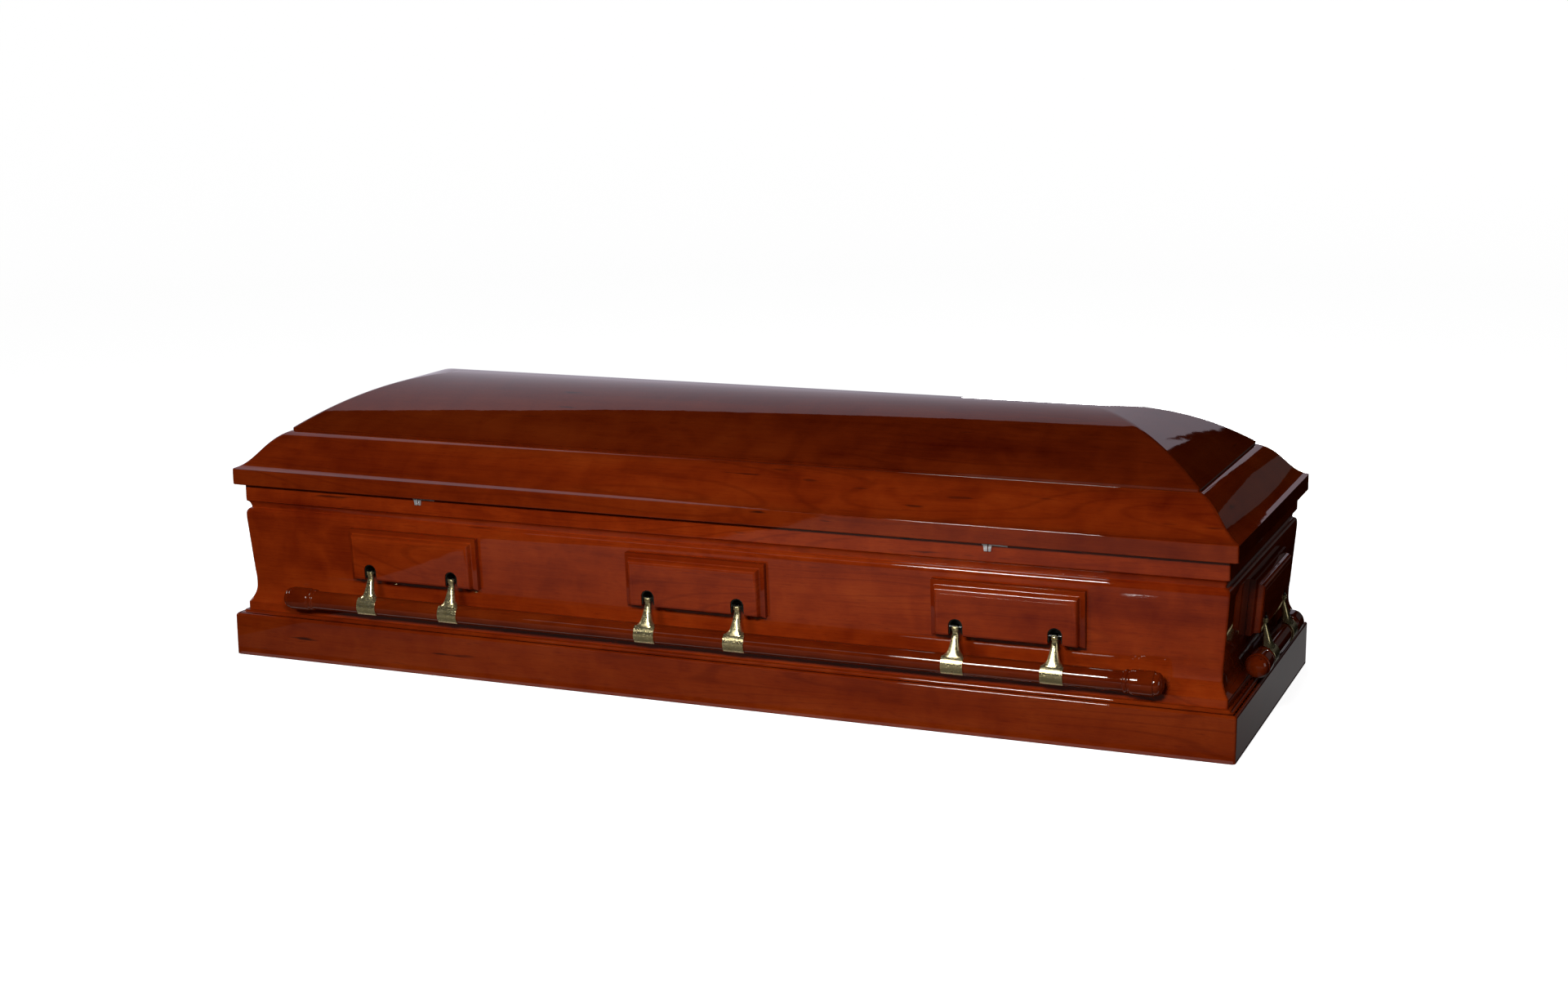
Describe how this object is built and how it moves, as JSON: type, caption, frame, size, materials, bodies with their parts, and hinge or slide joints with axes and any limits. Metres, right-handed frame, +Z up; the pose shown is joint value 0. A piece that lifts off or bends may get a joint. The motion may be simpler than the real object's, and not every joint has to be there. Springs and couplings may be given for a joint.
{
  "type": "funeral casket",
  "caption": "Long lacquered hardwood casket with a crowned full-length lift-off lid, moulded base, raised side panels and swing-bar handles on brass arms.",
  "frame": {"origin": "middle of the underside, on the surface that the casket stands on", "axes": "+X along the casket to the right end, -Y out of the long front with the lid catches, +Z up"},
  "size_m": [2.1468, 0.7588, 0.566],
  "materials": {
    "lacquered_wood": "deep red-brown stain under high-gloss lacquer",
    "bare_wood": "sanded, unlacquered",
    "arm_brass": "cast, satin, slightly aged in the recesses",
    "black_lug": "black, semi-gloss",
    "bright_catch": "bright plated"
  },
  "bodies": {
    "root": {"base_moulding_front": "lacquered_wood", "base_moulding_right_end": "lacquered_wood", "base_moulding_back": "lacquered_wood", "base_moulding_left_end": "lacquered_wood", "side_board_front": "lacquered_wood", "side_board_right_end": "lacquered_wood", "side_board_back": "lacquered_wood", "side_board_left_end": "lacquered_wood", "bottom_board": "bare_wood", "lid_rim_front": "lacquered_wood", "lid_rim_right_end": "lacquered_wood", "lid_rim_back": "lacquered_wood", "lid_rim_left_end": "lacquered_wood", "lid_crown_front": "lacquered_wood", "lid_crown_right_end": "lacquered_wood", "lid_crown_back": "lacquered_wood", "lid_crown_left_end": "lacquered_wood", "raised_panel_front_1": "lacquered_wood", "raised_panel_front_2": "lacquered_wood", "raised_panel_front_3": "lacquered_wood", "raised_panel_back_1": "lacquered_wood", "raised_panel_back_2": "lacquered_wood", "raised_panel_back_3": "lacquered_wood", "raised_panel_right_end_1": "lacquered_wood", "raised_panel_left_end_1": "lacquered_wood", "arm_lugs_front_1": "black_lug", "arm_lugs_front_2": "black_lug", "arm_lugs_front_3": "black_lug", "arm_lugs_back_1": "black_lug", "arm_lugs_back_2": "black_lug", "arm_lugs_back_3": "black_lug", "arm_lugs_right_end_1": "black_lug", "arm_lugs_left_end_1": "black_lug", "lid_catch_1": "bright_catch", "lid_catch_2": "bright_catch"},
    "handle_front": {"handle_bar_front": "lacquered_wood", "handle_arm_front_1": "arm_brass", "handle_arm_front_2": "arm_brass", "handle_arm_front_3": "arm_brass", "handle_arm_front_4": "arm_brass", "handle_arm_front_5": "arm_brass", "handle_arm_front_6": "arm_brass"},
    "handle_back": {"handle_bar_back": "lacquered_wood", "handle_arm_back_1": "arm_brass", "handle_arm_back_2": "arm_brass", "handle_arm_back_3": "arm_brass", "handle_arm_back_4": "arm_brass", "handle_arm_back_5": "arm_brass", "handle_arm_back_6": "arm_brass"},
    "handle_right_end": {"handle_bar_right_end": "lacquered_wood", "handle_arm_right_end_1": "arm_brass", "handle_arm_right_end_2": "arm_brass"},
    "handle_left_end": {"handle_bar_left_end": "lacquered_wood", "handle_arm_left_end_1": "arm_brass", "handle_arm_left_end_2": "arm_brass"}
  },
  "joints": [
    {"name": "front_handle_swing", "type": "hinge", "parent": "root", "child": "handle_front", "pos_m": [0, -0.35, 0.203], "axis": [-1, 0, 0], "range_deg": [0, 90]},
    {"name": "back_handle_swing", "type": "hinge", "parent": "root", "child": "handle_back", "pos_m": [0, 0.35, 0.203], "axis": [1, 0, 0], "range_deg": [0, 90]},
    {"name": "right_end_handle_swing", "type": "hinge", "parent": "root", "child": "handle_right_end", "pos_m": [1.044, 0, 0.203], "axis": [0, -1, 0], "range_deg": [0, 90]},
    {"name": "left_end_handle_swing", "type": "hinge", "parent": "root", "child": "handle_left_end", "pos_m": [-1.044, 0, 0.203], "axis": [0, 1, 0], "range_deg": [0, 90]}
  ]
}
